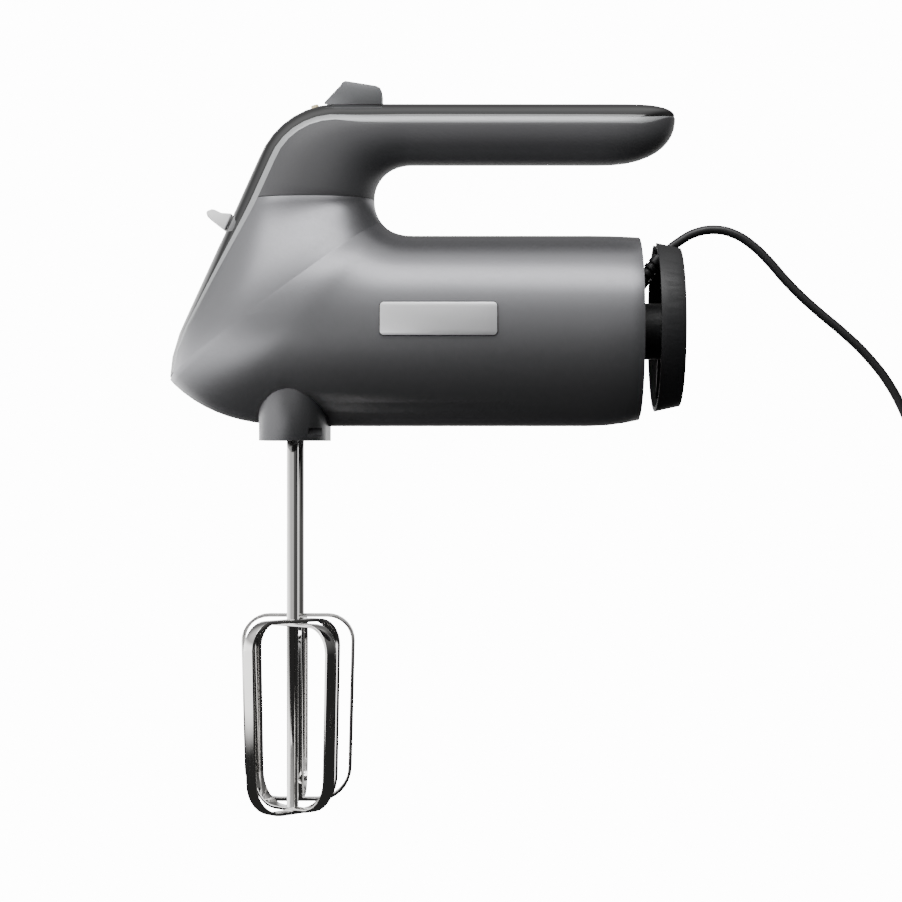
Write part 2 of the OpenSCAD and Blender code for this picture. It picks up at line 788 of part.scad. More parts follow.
// Beater: a shaft and two crossing loops of flat strip
whisk_taper = 1.4;
shaft_top = plate_top - plate_t - pin_l - fit_gap;
function loop_side(inset, drop) = let (
    r = whisk_d / 2 - inset,
    top = whisk_h - drop - inset,
    low = drop + inset,
    rt = 12 - inset,
    rl = 15 - inset
) concat(
    [for (a = [0:11.25:90]) on_arc([r - rt, top - rt], rt, a)],
    [for (a = [90:11.25:180]) on_arc([rt - r, top - rt], rt, a)],
    [for (a = [180:11.25:270]) on_arc([rl - r + whisk_taper, low + rl], rl, a)],
    [for (a = [270:11.25:360]) on_arc([r - rl - whisk_taper, low + rl], rl, a)]
);
module whisk_loop(drop) {
    rim = loop_side(0, drop);
    eye = loop_side(strip_t, drop);
    n = len(rim);
    rotate([90, 0, 0])
        linear_extrude(height = strip_w, center = true)
            polygon(
                points = concat(rim, eye),
                paths = [[for (i = [0:n - 1]) i], [for (i = [n:2 * n - 1]) i]]
            );
}

module beater(side, turn) {
    color("#d8d8da")
        translate([-beater_reach, side * beater_pitch / 2, -beater_low])
            rotate([0, 0, turn])
                union() {
                    translate([0, 0, 0.2])
                        cylinder(d = shaft_d, h = beater_low + shaft_top - 0.2);
                    whisk_loop(0);
                    rotate([0, 0, 90])
                        whisk_loop(strip_t);
                }
}

module beater_left() {
    beater(-1, 45);
}

module beater_right() {
    beater(1, 0);
}

// Motor: every piece is turned on the barrel's axis
module on_motor(x) {
    translate([x, 0, motor_z])
        rotate([0, 90, 0])
            children();
}

field_x = body_rear - 88.5;
field_w = 62;
field_h = 50;
armature_l = field_l + 2;
leg_in = 16.5;
leg_out = 23.5;
leg_low = 6;
leg_high = 17;
module field_core() {
    color("#7d7f86")
        on_motor(field_x)
            difference() {
                intersection() {
                    cylinder(d = field_w, h = field_l);
                    translate([-field_h / 2, -field_w / 2, 0])
                        cube([field_h, field_w, field_l]);
                }
                translate([0, 0, -1])
                    cylinder(d = armature_d + 2 * air_gap, h = field_l + 2);
                for (sx = [-1, 1], sy = [-1, 1]) {
                    translate([sx > 0 ? leg_low : -leg_high, sy > 0 ? leg_in : -leg_out, -1])
                        cube([leg_high - leg_low, leg_out - leg_in, field_l + 2]);
                }
            }
}

module field_coils() {
    over = 6;
    color("#b5652f")
        on_motor(field_x)
            for (sx = [-1, 1]) {
                for (sy = [-1, 1]) {
                    translate([sx > 0 ? leg_low + 0.4 : -leg_high + 0.4, sy > 0 ? leg_in + 0.4 : -leg_out + 0.4, -over])
                        cube([leg_high - leg_low - 0.8, leg_out - leg_in - 0.8, field_l + 2 * over]);
                }
                for (z = [-over, field_l + 1]) {
                    translate([sx > 0 ? leg_high - 0.8 : -leg_high - 4.2, -leg_out + 0.4, z])
                        cube([5, 2 * leg_out - 0.8, over - 1]);
                }
            }
}

armature_x = field_x - 1;
module armature_core() {
    color("#8b8d92")
        on_motor(armature_x)
            difference() {
                cylinder(d = armature_d, h = armature_l);
                translate([0, 0, -1])
                    cylinder(d = motor_shaft_d, h = armature_l + 2);
                for (i = [0:11]) {
                    rotate([0, 0, 30 * i])
                        translate([armature_d / 2 - 2.4, -0.7, -1])
                            cube([4, 1.4, armature_l + 2]);
                }
            }
}

winding_l = 7;
module armature_windings() {
    color("#b5652f")
        for (end = [0, 1]) {
            on_motor(end == 0 ? armature_x - winding_l : armature_x + armature_l)
                rotate_extrude($fn = 48)
                    translate([motor_shaft_d / 2, 0])
                        polygon(end == 0
                            ? [[0, 0], [5, 0], [9, 3], [9.4, winding_l], [0, winding_l]]
                            : [[0, 0], [9.4, 0], [9, winding_l - 3], [5, winding_l], [0, winding_l]]);
        }
}

comm_x = armature_x + armature_l + winding_l;
comm_d = 18;
comm_l = 13;
module commutator() {
    color("#c47a3d")
        on_motor(comm_x)
            difference() {
                cylinder(d = comm_d, h = comm_l);
                translate([0, 0, -1])
                    cylinder(d = motor_shaft_d, h = comm_l + 2);
                for (i = [0:11]) {
                    rotate([0, 0, 30 * i + 15])
                        translate([comm_d / 2 - 1, -0.3, -1])
                            cube([2, 0.6, comm_l + 2]);
                }
            }
}

bracket_x = comm_x + comm_l + 4;
worm_l = 26;
shaft_front = -beater_reach - worm_l / 2 - 3;
shaft_rear = bracket_x + bearing_w + 3;
module worm_shaft() {
    color("#c8c8cc")
        union() {
            on_motor(shaft_front)
                cylinder(d = motor_shaft_d, h = shaft_rear - shaft_front);
            on_motor(-beater_reach - worm_l / 2)
                cylinder(d = worm_d, h = worm_l);
        }
}

fan_t = 9;
fan_place = armature_x - winding_l - fan_t - 6;
module cooling_fan() {
    color("#e8e8e4")
        on_motor(fan_place)
            difference() {
                union() {
                    cylinder(d = 13, h = fan_t);
                    cylinder(d = fan_d, h = 1.6);
                    for (i = [0:10]) {
                        rotate([0, 0, i * 360 / 11])
                            translate([5, -0.7, 1])
                                cube([fan_d / 2 - 6, 1.4, fan_t - 1]);
                    }
                }
                translate([0, 0, -1])
                    cylinder(d = motor_shaft_d, h = fan_t + 2);
            }
}

module bearing(x) {
    color("#a8a8ac")
        on_motor(x)
            difference() {
                cylinder(d = bearing_d, h = bearing_w);
                translate([0, 0, -1])
                    cylinder(d = motor_shaft_d + 0.1, h = bearing_w + 2);
            }
}

module front_bearing() {
    bearing(frame_rear - 3);
}

module rear_bearing() {
    bearing(bracket_x);
}

holder_in = comm_d / 2 + 1.6;
holder_out = holder_in + 16;
brush_s = 5;
module rear_bracket() {
    color("#3a3a3c")
        difference() {
            union() {
                translate([bracket_x, -30, motor_z - 24])
                    cube([3, 60, 48]);
                on_motor(bracket_x)
                    cylinder(d = bearing_d + 4, h = bearing_w);
                for (s = [-1, 1]) {
                    translate([comm_x + comm_l / 2 - 4.2, s * (holder_in + holder_out) / 2 - 6, motor_z - 7.2])
                        cube([bracket_x - comm_x - comm_l / 2 + 5, 12, 3]);
                }
            }
            translate([bracket_x - 1, 0, motor_z])
                rotate([0, 90, 0])
                    cylinder(d = bearing_d, h = bearing_w + 2);
        }
}

module brush_holders() {
    color("#c9a24b")
        for (s = [-1, 1]) {
            translate([comm_x + comm_l / 2, s * (holder_in + holder_out) / 2, motor_z])
                difference() {
                    cube([8.4, holder_out - holder_in, 8.4], center = true);
                    cube([brush_s + 0.2, 40, brush_s + 0.2], center = true);
                }
        }
}

module carbon_brushes() {
    color("#2c2c2e")
        for (s = [-1, 1]) {
            translate([comm_x + comm_l / 2, s * (comm_d / 2 + 0.2 + 7), motor_z])
                cube([brush_s, 14, brush_s], center = true);
        }
}

module terminal_block() {
    color("#d8d4c4")
        translate([body_rear - 20, 6, motor_z + 25])
            difference() {
                cube([13, 14, 8]);
                for (y = [3.5, 10.5]) {
                    translate([6.5, y, 3])
                        cylinder(d = 3, h = 10);
                }
            }
}

// Screws through the bosses, driven from the mixer's right side
module shell_screws() {
    color("#9a9a9e")
        for (b = concat(grip_bosses, body_bosses)) {
            seat = side_at(b[0], b[1]) - screw_well - 2;
            along_y(b[0], b[1], screw_d, -seat + 1, seat + 0.5);
            along_y(b[0], b[1], screw_head_d, seat, seat + 2);
        }
}

// Cord wrap: a hub on the rear cap and a shallow cup whose open side faces the body
wrap_wall = 2;
wrap_taper = 0.22;
notch_w = 13;
notch_low = wrap_z + 18;
module wrap_cup(inset, depth) {
    r0 = wrap_d / 2 - inset;
    translate([wrap_rim, 0, wrap_z])
        rotate([0, 90, 0])
            cylinder(r1 = r0, r2 = r0 - wrap_taper * depth, h = depth);
}

module cord_wrap() {
    color("#2c2c2e")
        difference() {
            union() {
                difference() {
                    wrap_cup(0, wrap_depth);
                    translate([-0.01, 0, 0])
                        wrap_cup(wrap_wall, wrap_depth - wrap_wall);
                }
                on_motor(rear_face)
                    cylinder(d = hub_d, h = wrap_gap + wrap_depth - 0.6);
                for (a = [90:60:270]) {
                    translate([wrap_rim + 2, 0, wrap_z])
                        rotate([a, 0, 0])
                            translate([0, -0.8, hub_d / 2 - 1])
                                cube([wrap_depth - 3.4, 1.6, wrap_d / 2 - hub_d / 2 - 1.6]);
                }
            }
            translate([wrap_rim - 1, -notch_w / 2, notch_low])
                cube([wrap_depth - 2, notch_w, 30]);
            translate([wrap_rim, -notch_w / 2, wrap_z + wrap_d / 2 - 5.6])
                cube([wrap_depth + 2, notch_w, 30]);
        }
}

module strain_relief() {
    color("#1c1c1e")
        at_gland()
            difference() {
                union() {
                    cylinder(d1 = 8, d2 = cord_d + 1.8, h = gland_l, $fn = 32);
                    translate([0, 0, -0.01])
                        cylinder(d = 11, h = 2, $fn = 32);
                }
                for (z = [12:3:18]) {
                    translate([0, 0, z])
                        difference() {
                            cylinder(d = 10, h = 1.2, $fn = 32);
                            translate([0, 0, -1])
                                cylinder(d = cord_d + 1.2, h = 4, $fn = 32);
                        }
                }
            }
}

// Mains cord: out of the strain relief, over a low hump and down beside the mixer to the coil
ground_z = -beater_low;
lie_z = ground_z + cord_d / 2;
coil_at = [223, 8];
coil_r = 23;
coil_half = 6;
coil_h = 2 * cord_d;
cord_route = [
    [60.6, 0, -53.4], [64.2, 0, -50.2], [68.6, 0, -46.8], [76.1, 0, -42.6], [85.4, 0, -41.2],
    [93.6, 0, -43.2], [101.4, 0, -48.2], [108.4, 0, -55], [115, 0, -62.6], [122, 0, -69.8],
    [130, 0, -77], [140, 0, -85.4], [151, 0, -96], [161, 0, -109], [169, 0, -125],
    [176, 0, -143], [181.6, 0, -164], [185.6, 0, -187], [188, 0, -212], [189.4, 1, -236],
    [191, 5, -256], [193.4, 11, -270], [196.6, 18.6, -281], [201.6, 25.6, -288], [209.1, 31.2, -290.1]
];
tail_route = [
    [249.6, 3.3, -286.1], [248.8, -10, -287.4], [245.6, -23, -288.8], [240, -35, -289.8],
    [231.5, -44.4, -289.3], [221.5, -49.8, -287.9], [212, -51, -286.6]
];
function unit(v) = v / norm(v);
function tangent(p, i) = unit(p[min(i + 1, len(p) - 1)] - p[max(i - 1, 0)]);
function tube_rings(p, d, up, n) = [for (i = [0:len(p) - 1])
    let (t = tangent(p, i), u = unit(cross(up, t)), v = cross(t, u))
    [for (k = [0:n - 1]) let (a = 360 * k / n) p[i] + d / 2 * (cos(a) * u + sin(a) * v)]];
function eased(p) = [for (i = [0:len(p) - 2], h = [0, 1])
    h == 0 ? p[i] : i == 0 || i == len(p) - 2 ? (p[i] + p[i + 1]) / 2
        : (9 * (p[i] + p[i + 1]) - p[i - 1] - p[i + 2]) / 16];
module tube(p, up) {
    skin(tube_rings(concat(eased(p), [p[len(p) - 1]]), cord_d, up, 8));
}

module cord() {
    color("#262628") tube(cord_route, [0, 1, 0]);
}

module cord_tail() {
    color("#262628") tube(tail_route, [0, 0, 1]);
}

module cord_coil() {
    color("#262628")
        translate([coil_at.x, coil_at.y, ground_z])
            rotate_extrude($fn = 64)
                translate([coil_r - coil_half, 0])
                    square([2 * coil_half, coil_h]);
}

// Plug: flat two-pin body beside the coil, pins towards the mixer
plug_end = [212, -51];
plug_l = 30;
plug_w = 26.3;
plug_t = 11;
module plug_body() {
    z = ground_z + plug_t / 2;
    color("#202022")
        translate([plug_end.x, plug_end.y, z])
            rotate([0, -90, 0])
                hull() {
                    cylinder(d = plug_t - 3, h = 1, $fn = 32);
                    for (s = [-1, 1]) {
                        translate([0, s * (plug_w - plug_t) / 2, plug_l - 12])
                            cylinder(d = plug_t, h = 12, $fn = 32);
                    }
                }
}

pin_pitch = 18.6;
plug_pin_d = 4;
plug_pin_l = 19;
module plug_pins() {
    color("#c9c9cc")
        for (s = [-1, 1]) {
            translate([plug_end.x - plug_l, plug_end.y + s * pin_pitch / 2, ground_z + plug_t / 2])
                rotate([0, -90, 0])
                    cylinder(d = plug_pin_d, h = plug_pin_l);
        }
}

handle_shell_left();
handle_shell_right();
body_shell_left();
body_shell_right();
top_cover();
trim_band();
badge_left();
badge_right();
tool_collar();
rear_cap();
speed_selector();
selector_contact();
indicator_lens();
eject_lever();
ejector_plate();
return_springs();
field_core();
field_coils();
armature_core();
armature_windings();
commutator();
worm_shaft();
cooling_fan();
front_bearing();
rear_bearing();
rear_bracket();
brush_holders();
carbon_brushes();
gear_frame();
worm_wheel_left();
worm_wheel_right();
spindle_left();
spindle_right();
spindle_bushes();
beater_left();
beater_right();
speed_switch();
circuit_board();
terminal_block();
shell_screws();
cord_wrap();
strain_relief();
cord();
cord_coil();
cord_tail();
plug_body();
plug_pins();
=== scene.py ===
# %% [markdown]
# # A hand mixer, piece by piece
# The mixer's shape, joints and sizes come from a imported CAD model, which is loaded as a fixed frame.
# This lesson gives each piece its finished surface: moulded shells with softened edges, polished
# strip-steel beaters, a real length of cord and lettering-free plates.

# %% Load the frame
import json
import math
import bmesh
import bpy
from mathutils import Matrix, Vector


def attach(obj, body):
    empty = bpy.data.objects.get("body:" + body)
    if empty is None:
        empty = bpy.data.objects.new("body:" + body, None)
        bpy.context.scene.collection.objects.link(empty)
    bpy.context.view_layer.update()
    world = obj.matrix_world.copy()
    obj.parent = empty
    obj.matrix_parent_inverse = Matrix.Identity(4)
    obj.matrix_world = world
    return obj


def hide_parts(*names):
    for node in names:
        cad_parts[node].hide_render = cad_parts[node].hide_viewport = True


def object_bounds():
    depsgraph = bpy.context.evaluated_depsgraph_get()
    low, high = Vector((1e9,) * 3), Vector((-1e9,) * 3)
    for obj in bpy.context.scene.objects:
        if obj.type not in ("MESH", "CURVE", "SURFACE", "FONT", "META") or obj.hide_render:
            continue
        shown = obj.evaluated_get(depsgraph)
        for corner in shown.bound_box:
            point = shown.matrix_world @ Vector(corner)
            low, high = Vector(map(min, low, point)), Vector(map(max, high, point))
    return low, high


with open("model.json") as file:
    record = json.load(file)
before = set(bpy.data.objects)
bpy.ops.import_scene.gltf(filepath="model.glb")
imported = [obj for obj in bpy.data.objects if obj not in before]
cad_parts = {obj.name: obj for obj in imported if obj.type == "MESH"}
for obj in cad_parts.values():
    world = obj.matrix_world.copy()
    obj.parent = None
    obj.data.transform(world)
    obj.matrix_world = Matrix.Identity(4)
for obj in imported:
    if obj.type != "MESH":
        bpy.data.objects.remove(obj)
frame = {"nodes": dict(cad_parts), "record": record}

CAD_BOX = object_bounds()
MM = 0.001
nodes = frame["nodes"]
print("CAD nodes:", len(nodes))

# %% [markdown]
# ## Camera
# The mixer is seen square on from its left side, from about a metre away with a long lens, a little
# below the middle of the body. A long lens keeps the parallel edges of the grip and barrel parallel.

# %% Camera
EYE = Vector((-30.0, -1020.0, -137.4)) * MM
lens_mm = 93.6
camera_data = bpy.data.cameras.new("camera")
camera_data.lens = lens_mm
camera_data.sensor_width = 36
camera_data.clip_start = 0.05
camera = bpy.data.objects.new("camera", camera_data)
camera.location = EYE
camera.rotation_euler = (math.radians(90), 0, 0)
bpy.context.scene.collection.objects.link(camera)
bpy.context.scene.camera = camera
print("camera", tuple(round(v, 3) for v in EYE), "lens", lens_mm)

# %% [markdown]
# ## The mains cord
# The cord is one flexible length of 4 mm lead. It climbs out of the strain relief, sags over in a low
# hump, drops to the surface the beaters' tips are level with, and its spare length is wound into a
# neat coil. One curve object carries all of it, so its length can be measured along the line.

# %% Cord route
CORD_D = 4.0 * MM
FREE_ROUTE = [
    (60.6, 0, -53.4), (64.2, 0, -50.2), (68.6, 0, -46.8), (76.1, 0, -42.6), (85.4, 0, -41.2),
    (93.6, 0, -43.2), (101.4, 0, -48.2), (108.4, 0, -55), (115, 0, -62.6), (122, 0, -69.8),
    (130, 0, -77), (140, 0, -85.4), (151, 0, -96), (161, 0, -109), (169, 0, -125),
    (176, 0, -143), (181.6, 0, -164), (185.6, 0, -187), (188, 0, -212), (189.4, 1, -236),
    (191, 5, -256), (193.4, 11, -270), (196.6, 18.6, -281), (201.6, 25.6, -288), (209.1, 31.2, -290.1),
]
TAIL_ROUTE = [
    (249.6, 3.3, -286.1), (248.8, -10, -287.4), (245.6, -23, -288.8), (240, -35, -289.8),
    (231.5, -44.4, -289.3), (221.5, -49.8, -287.9), (212, -51, -286.6),
]
COIL_CENTRE = (223.0, 8.0)
COIL_OUTER_R = 27.0
COIL_INNER_R = 19.0
COIL_TURNS = 6
LIE_Z = -290.1


def coil_points(start, end, steps=18):
    """Two layers of turns, wound clockwise inwards and then back outwards on top."""
    sweep = 360 * (COIL_TURNS - 1) + (start - end) % 360
    count = round(sweep / 360 * steps)
    points = []
    for i in range(1, count):
        t = i / count
        angle = math.radians(start - sweep * t)
        across = abs(2 * t - 1)
        radius = COIL_INNER_R + (COIL_OUTER_R - COIL_INNER_R) * across
        height = LIE_Z + CORD_D / MM * min(1, max(0, (t - 0.44) / 0.12))
        points.append((COIL_CENTRE[0] + radius * math.cos(angle),
                       COIL_CENTRE[1] + radius * math.sin(angle), height))
    return points


route = FREE_ROUTE + coil_points(120.6, 350) + TAIL_ROUTE
cord_data = bpy.data.curves.new("mains_cord", "CURVE")
cord_data.dimensions = "3D"
cord_data.bevel_depth = CORD_D / 2
cord_data.bevel_resolution = 5
cord_data.resolution_u = 6
spline = cord_data.splines.new("BEZIER")
spline.bezier_points.add(len(route) - 1)
for knot, place in zip(spline.bezier_points, route):
    knot.co = Vector(place) * MM
    knot.handle_left_type = knot.handle_right_type = "AUTO"
mains_cord = bpy.data.objects.new("mains_cord", cord_data)
bpy.context.scene.collection.objects.link(mains_cord)

# %% [markdown]
# ## Colour and node helpers
# Hex colours are sRGB, while shaders work in linear light, so one function converts them. A second
# small function adds any node, sets its inputs and links it, which keeps every material short.

# %% Helpers for materials
def linear(hex_colour):
    channels = [int(hex_colour[i:i + 2], 16) / 255 for i in (1, 3, 5)]
    return [c / 12.92 if c <= 0.04045 else ((c + 0.055) / 1.055) ** 2.4 for c in channels] + [1.0]


def add_node(tree, kind, settings=None, inputs=None, links=None):
    node = tree.nodes.new(kind)
    for name, value in (settings or {}).items():
        setattr(node, name, value)
    for name, value in (inputs or {}).items():
        node.inputs[name].default_value = value
    for name, source in (links or {}).items():
        tree.links.new(source, node.inputs[name])
    return node


def per_metre(size_mm):
    """Noise scale whose features are about this many millimetres across."""
    return 1000.0 / size_mm


def start_material(name, hex_colour, metallic, roughness, coat=0.0, specular=0.5):
    material = bpy.data.materials.new(name)
    material.use_nodes = True
    tree = material.node_tree
    shader = tree.nodes["Principled BSDF"]
    shader.inputs["Base Color"].default_value = linear(hex_colour)
    shader.inputs["Metallic"].default_value = metallic
    shader.inputs["Roughness"].default_value = roughness
    shader.inputs["Coat Weight"].default_value = coat
    shader.inputs["Specular IOR Level"].default_value = specular
    material.diffuse_color = linear(hex_colour)
    return material, tree, shader


def surface(name, hex_colour, shade_hex, metallic, roughness, grain_mm, bump_mm, spread=0.06,
            stretch=(1, 1, 1), coat=0.0, mottle_mm=40.0, specular=0.5):
    """A moulded or machined surface: slow colour mottle, roughness that wanders, and a fine grain."""
    material, tree, shader = start_material(name, hex_colour, metallic, roughness, coat, specular)
    place = add_node(tree, "ShaderNodeTexCoord")
    lie = add_node(tree, "ShaderNodeMapping", inputs={"Scale": stretch},
                   links={"Vector": place.outputs["Object"]})
    mottle = add_node(tree, "ShaderNodeTexNoise", inputs={"Scale": per_metre(mottle_mm), "Detail": 3.0},
                      links={"Vector": place.outputs["Object"]})
    grain = add_node(tree, "ShaderNodeTexNoise", inputs={"Scale": per_metre(grain_mm), "Detail": 2.0},
                     links={"Vector": lie.outputs["Vector"]})
    tint = add_node(tree, "ShaderNodeMix", {"data_type": "RGBA"},
                    links={"Factor": mottle.outputs["Fac"]})
    tint.inputs["A"].default_value = linear(hex_colour)
    tint.inputs["B"].default_value = linear(shade_hex)
    tree.links.new(tint.outputs["Result"], shader.inputs["Base Color"])
    wander = add_node(tree, "ShaderNodeMapRange",
                      inputs={"From Min": 0.3, "From Max": 0.7,
                              "To Min": roughness - spread, "To Max": roughness + spread},
                      links={"Value": grain.outputs["Fac"]})
    tree.links.new(wander.outputs["Result"], shader.inputs["Roughness"])
    bump = add_node(tree, "ShaderNodeBump", inputs={"Strength": 0.6, "Distance": bump_mm * MM},
                    links={"Height": grain.outputs["Fac"]})
    tree.links.new(bump.outputs["Normal"], shader.inputs["Normal"])
    return material


# %% [markdown]
# ## Finishes
# Each finish starts from the real material. The barrel is ABS with a satin metallic paint: fine flakes
# in a dark grey, so it has soft but bright highlights. The grip is soft-touch rubberised plastic, which
# scatters light and has almost no shine. The spine is piano-black ABS, polished in the mould. The trim is
# a satin silver moulding. The beaters are polished stainless strip.

# %% Visible finishes
GRAPHITE = surface("satin_metallic_abs", "#828285", "#7a7a7d", 0.8, 0.36, 0.9, 0.004, 0.04)
SOFT_TOUCH = surface("soft_touch_rubberised_abs", "#444446", "#3e3e40", 0.0, 0.52, 0.7, 0.01, 0.05)
PIANO_BLACK = surface("piano_black_abs", "#101011", "#0c0c0d", 0.0, 0.09, 2.5, 0.0008, 0.03, coat=0.6)
SILVER_TRIM = surface("satin_silver_trim", "#a0a1a2", "#989a9b", 0.3, 0.36, 0.8, 0.002, 0.05)
BRUSHED_PLATE = surface("brushed_aluminium_plate", "#eaeaec", "#e0e0e2", 0.7, 0.34, 0.4, 0.0012, 0.04,
                        stretch=(0.04, 1, 1))
SATIN_METAL = surface("satin_grey_selector", "#77787a", "#6c6d6f", 0.5, 0.34, 0.6, 0.0012, 0.03)
POLISHED_EDGE = surface("polished_selector_edge", "#e2e2e4", "#d6d6d9", 0.6, 0.22, 0.8, 0.0006, 0.03)
GLOSS_WHITE = surface("white_gloss_tab", "#fbfbfc", "#f6f6f7", 0.0, 0.16, 3.0, 0.001, 0.03)
MATT_BLACK = surface("fine_spark_eroded_black_abs", "#1d1d1f", "#19191b", 0.0, 0.5, 0.5, 0.012, 0.05)
COLLAR_GREY = surface("satin_collar_abs", "#58585a", "#515153", 0.6, 0.36, 0.7, 0.006, 0.05)
STAINLESS = surface("polished_stainless_strip", "#dddcda", "#d2d0ce", 1.0, 0.08, 1.2, 0.0003, 0.02,
                    stretch=(1, 1, 0.05), mottle_mm=15)
CORD_PVC = surface("extruded_black_pvc", "#1b1b1c", "#171718", 0.0, 0.42, 0.8, 0.006, 0.05)
NICKEL = surface("nickel_plated_brass", "#cfcac0", "#c2bdb4", 1.0, 0.2, 0.8, 0.001, 0.05)

amber, amber_tree, amber_shader = start_material("amber_indicator_lens", "#e6d9ae", 0.0, 0.12, coat=0.5)
amber_place = add_node(amber_tree, "ShaderNodeTexCoord")
amber_cloud = add_node(amber_tree, "ShaderNodeTexNoise", inputs={"Scale": per_metre(1.5)},
                       links={"Vector": amber_place.outputs["Object"]})
amber_tint = add_node(amber_tree, "ShaderNodeMix", {"data_type": "RGBA"},
                      links={"Factor": amber_cloud.outputs["Fac"]})
amber_tint.inputs["A"].default_value = linear("#e8ddb8")
amber_tint.inputs["B"].default_value = linear("#d2bd82")
amber_tree.links.new(amber_tint.outputs["Result"], amber_shader.inputs["Base Color"])
print("visible finishes:", len(bpy.data.materials))

# %% Finishes inside the housing
STAMPED_STEEL = surface("stamped_lamination_steel", "#85878c", "#6f7176", 1.0, 0.42, 0.5, 0.01, 0.08,
                        stretch=(8, 1, 1))
TURNED_STEEL = surface("turned_steel", "#b9babd", "#a9aaae", 1.0, 0.25, 0.4, 0.003, 0.06)
COPPER_WIRE = surface("enamelled_copper_wire", "#b4622c", "#8f4718", 0.7, 0.3, 0.6, 0.05, 0.05)
BRASS_SHEET = surface("stamped_brass", "#c9a557", "#b08d45", 1.0, 0.3, 0.8, 0.003, 0.06)
SINTERED_BRONZE = surface("sintered_bronze", "#a07a4a", "#8a683d", 0.9, 0.5, 0.4, 0.01, 0.08)
CARBON = surface("pressed_carbon", "#242426", "#1c1c1e", 0.2, 0.6, 0.3, 0.01, 0.05)
NATURAL_NYLON = surface("natural_nylon", "#e9e3d2", "#ddd5c0", 0.0, 0.42, 0.8, 0.004, 0.06)
DIE_CAST = surface("die_cast_zinc", "#a3a5a8", "#929498", 0.9, 0.5, 0.6, 0.02, 0.1)
SOLDER_MASK = surface("green_solder_mask", "#1f6b3a", "#185a30", 0.0, 0.3, 0.5, 0.004, 0.05)
print("all finishes:", len(bpy.data.materials))

INSIDE = {
    "selector_contact": MATT_BLACK, "ejector_plate": TURNED_STEEL, "return_springs": TURNED_STEEL,
    "field_core": STAMPED_STEEL, "field_coils": COPPER_WIRE, "armature_core": STAMPED_STEEL,
    "armature_windings": COPPER_WIRE, "commutator": COPPER_WIRE, "worm_shaft": TURNED_STEEL,
    "cooling_fan": NATURAL_NYLON, "front_bearing": TURNED_STEEL, "rear_bearing": TURNED_STEEL,
    "rear_bracket": MATT_BLACK, "brush_holders": BRASS_SHEET, "carbon_brushes": CARBON,
    "gear_frame": DIE_CAST, "worm_wheel_left": NATURAL_NYLON, "worm_wheel_right": NATURAL_NYLON,
    "spindle_left": TURNED_STEEL, "spindle_right": TURNED_STEEL, "spindle_bushes": SINTERED_BRONZE,
    "speed_switch": MATT_BLACK, "circuit_board": SOLDER_MASK, "terminal_block": NATURAL_NYLON,
    "shell_screws": TURNED_STEEL,
}
for node_name, finish in INSIDE.items():
    nodes[node_name].data.materials.clear()
    nodes[node_name].data.materials.append(finish)
print("inside nodes given a finish:", len(INSIDE))

# %% [markdown]
# ## Softened mouldings
# A moulding never has a razor edge: its tool is radiused, and that radius is what catches the light
# along every seam. The CAD solids have sharp edges, so each visible one is copied, its loose triangles
# are merged, flat areas are dissolved, and every edge sharper than a set angle gets a small bevel.

# %% Refining a copy of a CAD solid
def body_of(node_name):
    for body, members in frame["record"]["behaviour"]["bodies"].items():
        if node_name in members:
            return body
    return "housing"


SHARP_DEG = 32
FLAT_DEG = 0.4


def refine(node_name, finish, radius_mm, edge_finish=None):
    mesh = bmesh.new()
    mesh.from_mesh(nodes[node_name].data)
    bmesh.ops.remove_doubles(mesh, verts=mesh.verts, dist=0.004 * MM)
    bmesh.ops.dissolve_limit(mesh, angle_limit=math.radians(FLAT_DEG), verts=mesh.verts,
                             edges=mesh.edges)
    bmesh.ops.recalc_face_normals(mesh, faces=mesh.faces)
    sharp = [e for e in mesh.edges if len(e.link_faces) == 2
             and e.calc_face_angle() > math.radians(SHARP_DEG)]
    bmesh.ops.bevel(mesh, geom=sharp, offset=radius_mm * MM, offset_type="OFFSET",
                    affect="EDGES", segments=2, profile=0.5,
                    material=1 if edge_finish else -1, clamp_overlap=True)
    for face in mesh.faces:
        face.smooth = True
    data = bpy.data.meshes.new(node_name + "_moulding")
    mesh.to_mesh(data)
    mesh.free()
    data.materials.append(finish)
    if edge_finish:
        data.materials.append(edge_finish)
    piece = bpy.data.objects.new(node_name + "_moulding", data)
    bpy.context.scene.collection.objects.link(piece)
    data.set_sharp_from_angle(angle=math.radians(40))
    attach(piece, body_of(node_name))
    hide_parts(node_name)
    print(f"{piece.name}: {len(sharp)} sharp edges softened, {len(data.polygons)} faces")
    return piece


# %% Shells, cover and trim
for side in ("left", "right"):
    refine(f"body_shell_{side}", GRAPHITE, 0.35)
    refine(f"handle_shell_{side}", SOFT_TOUCH, 0.35)
    # The badge's bevelled rim takes the matt black finish as a painted shadow line round the raised
    # plate.
    refine(f"badge_{side}", BRUSHED_PLATE, 0.4, edge_finish=MATT_BLACK)
refine("top_cover", PIANO_BLACK, 0.3)
refine("trim_band", SILVER_TRIM, 0.15)
refine("tool_collar", COLLAR_GREY, 0.5)
refine("rear_cap", MATT_BLACK, 0.3)
refine("cord_wrap", MATT_BLACK, 0.6)

# %% Controls
refine("speed_selector", SATIN_METAL, 0.7, edge_finish=POLISHED_EDGE)
refine("indicator_lens", amber, 0.3)
refine("eject_lever", GLOSS_WHITE, 0.6)

# %% Beaters
for side in ("left", "right"):
    refine(f"beater_{side}", STAINLESS, 0.3)

# %% Strain relief, plug and the cord they belong to
strain_relief = refine("strain_relief", CORD_PVC, 0.25)
plug_body = refine("plug_body", MATT_BLACK, 1.2)
plug_pins = refine("plug_pins", NICKEL, 0.4)
cord_data.materials.append(CORD_PVC)
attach(mains_cord, "housing")
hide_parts("cord", "cord_coil", "cord_tail")

# %% [markdown]
# ## Floor and light
# The floor is a sheet of glowing white paper and the backdrop is as white, so neither takes a shadow.
# Light is soft and comes from above and in front, as in a product studio, so the barrel goes from a
# bright band at its top to dark underneath.

